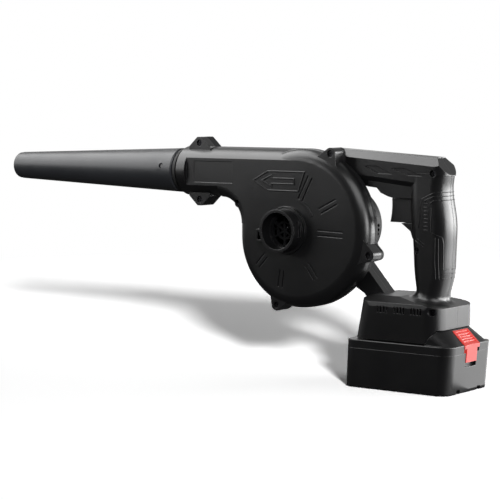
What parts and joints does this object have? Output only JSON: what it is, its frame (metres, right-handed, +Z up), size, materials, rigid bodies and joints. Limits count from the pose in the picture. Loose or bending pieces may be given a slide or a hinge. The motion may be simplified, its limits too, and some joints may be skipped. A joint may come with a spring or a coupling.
{
  "type": "leaf blower",
  "caption": "Cordless hand-held leaf blower with a side air inlet, a scroll fan housing, a long tapered nozzle, a pistol grip and a slide-on battery with a push latch.",
  "frame": {"origin": "centre of the battery's flat underside, on the surface it stands on", "axes": "+Z up; -X the way the nozzle points; -Y the side with the round air inlet"},
  "size_m": [0.5683, 0.137, 0.2363],
  "materials": {
    "housing": "fine textured charcoal",
    "handle": "fine textured charcoal",
    "nozzle": "satin blue-black",
    "soft_black": "matte",
    "wheel": "satin",
    "steel": "plain",
    "black_steel": "black oxide",
    "can_steel": "zinc plated",
    "ferrite": "matte",
    "copper": "plain",
    "brass": "plain",
    "carbon": "matte",
    "end_bell": "satin",
    "trigger": "satin",
    "switch": "satin",
    "lead_red": "satin",
    "battery": "satin charcoal",
    "latch_red": "coral red",
    "cell": "shrink sleeve",
    "holder": "satin",
    "board": "satin",
    "nickel": "plain"
  },
  "bodies": {
    "housing": {"inlet_cover": "housing", "motor_housing": "housing", "motor_cover": "housing", "outlet_ring": "soft_black", "inlet_guard": "housing", "motor_can": "can_steel", "magnets": "ferrite", "front_bearing": "steel", "rear_bearing": "steel", "motor_end_bell": "end_bell", "brush_holders": "brass", "carbon_brushes": "carbon", "motor_screws": "steel", "cover_screws": "black_steel", "housing_screws": "black_steel", "handle_left": "handle", "handle_right": "handle", "handle_screws": "black_steel", "trigger_switch": "switch", "trigger_spring": "steel", "motor_leads": "lead_red", "battery_leads": "lead_red", "terminal_block": "switch", "terminal_blades": "brass"},
    "fan": {"impeller": "wheel", "impeller_nut": "steel", "motor_shaft": "steel", "armature_core": "steel", "windings": "copper", "commutator": "copper"},
    "trigger": {"trigger": "trigger"},
    "nozzle": {"nozzle": "nozzle"},
    "battery": {"battery_lower_case": "battery", "battery_upper_case": "battery", "battery_screws": "black_steel", "battery_cells": "cell", "cell_holders": "holder", "cell_straps": "nickel", "battery_board": "board", "battery_contacts": "brass", "latch_spring": "steel"},
    "latch": {"battery_latch": "latch_red"}
  },
  "joints": [
    {"name": "fan_spin", "type": "hinge", "parent": "housing", "child": "fan", "pos_m": [-0.127, 0, 0.1465], "axis": [0, -1, 0], "continuous": true},
    {"name": "trigger_pull", "type": "slide", "parent": "housing", "child": "trigger", "axis": [1, 0, 0], "range_m": [0, 0.007], "stiffness_N_per_m": 700, "springref_m": -0.004, "deforming": ["trigger_spring"]},
    {"name": "nozzle_twist", "type": "hinge", "parent": "housing", "child": "nozzle", "pos_m": [-0.2733, -0.015, 0.2013], "axis": [1, 0, 0], "range_deg": [0, 40]},
    {"name": "battery_slide", "type": "slide", "parent": "housing", "child": "battery", "axis": [1, 0, 0], "range_m": [0, 0.095]},
    {"name": "latch_press", "type": "slide", "parent": "battery", "child": "latch", "axis": [0, 0, -1], "range_m": [0, 0.004], "stiffness_N_per_m": 1200, "springref_m": -0.003, "deforming": ["latch_spring"]}
  ]
}
